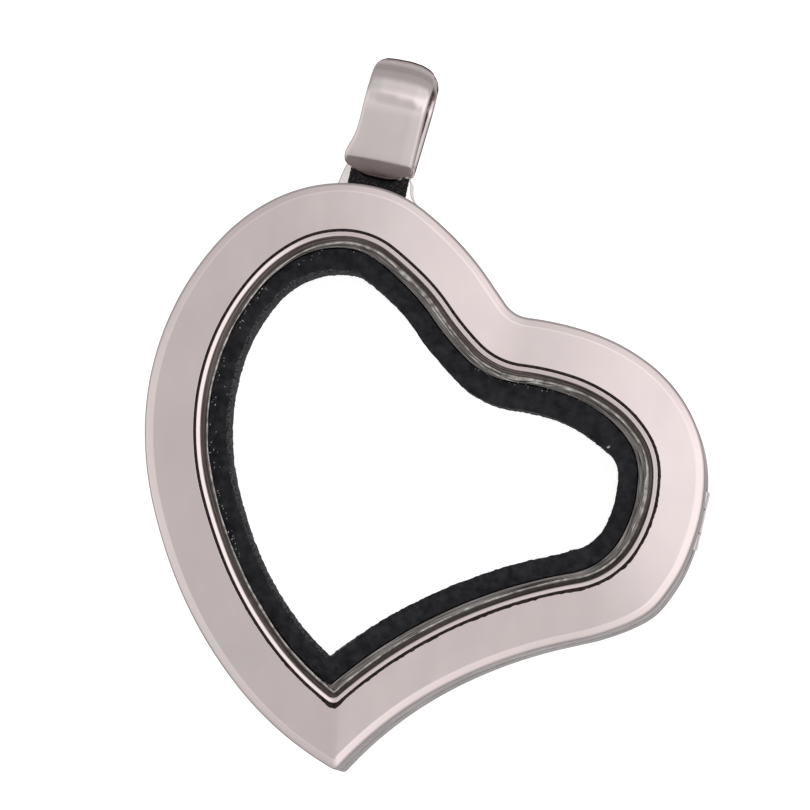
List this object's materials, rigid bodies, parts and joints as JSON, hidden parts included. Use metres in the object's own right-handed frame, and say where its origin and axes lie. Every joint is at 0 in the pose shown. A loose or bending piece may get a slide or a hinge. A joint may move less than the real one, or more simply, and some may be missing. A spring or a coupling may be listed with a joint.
{
  "type": "floating locket",
  "caption": "Heart-shaped see-through locket: polished metal halves on a side hinge, glass panes, black magnet strips behind them, and a bail for a chain.",
  "frame": {"origin": "under the middle of the whole locket's footprint, on the surface that it lies on", "axes": "+X to the right across the face, +Y up the face towards the bail, +Z out of the front pane"},
  "size_m": [0.0302, 0.0386, 0.007],
  "materials": {
    "case_metal": "polished dark rhodium plate on cast zinc alloy",
    "pin_steel": "drawn steel wire",
    "clear_glass": "clear polished pane",
    "magnet_strip": "matt black rubber-bonded magnet strip with cut edges"
  },
  "bodies": {
    "case": {"back_case": "case_metal", "hinge_pin": "pin_steel", "back_glass": "clear_glass", "back_magnet_ring": "magnet_strip"},
    "door": {"door_frame": "case_metal", "front_glass": "clear_glass", "front_magnet_ring": "magnet_strip"}
  },
  "joints": [
    {"name": "door_hinge", "type": "hinge", "parent": "case", "child": "door", "pos_m": [0.01426, -0.00589, 0.0035], "axis": [0.225, 0.9744, 0], "range_deg": [0, 110]}
  ]
}
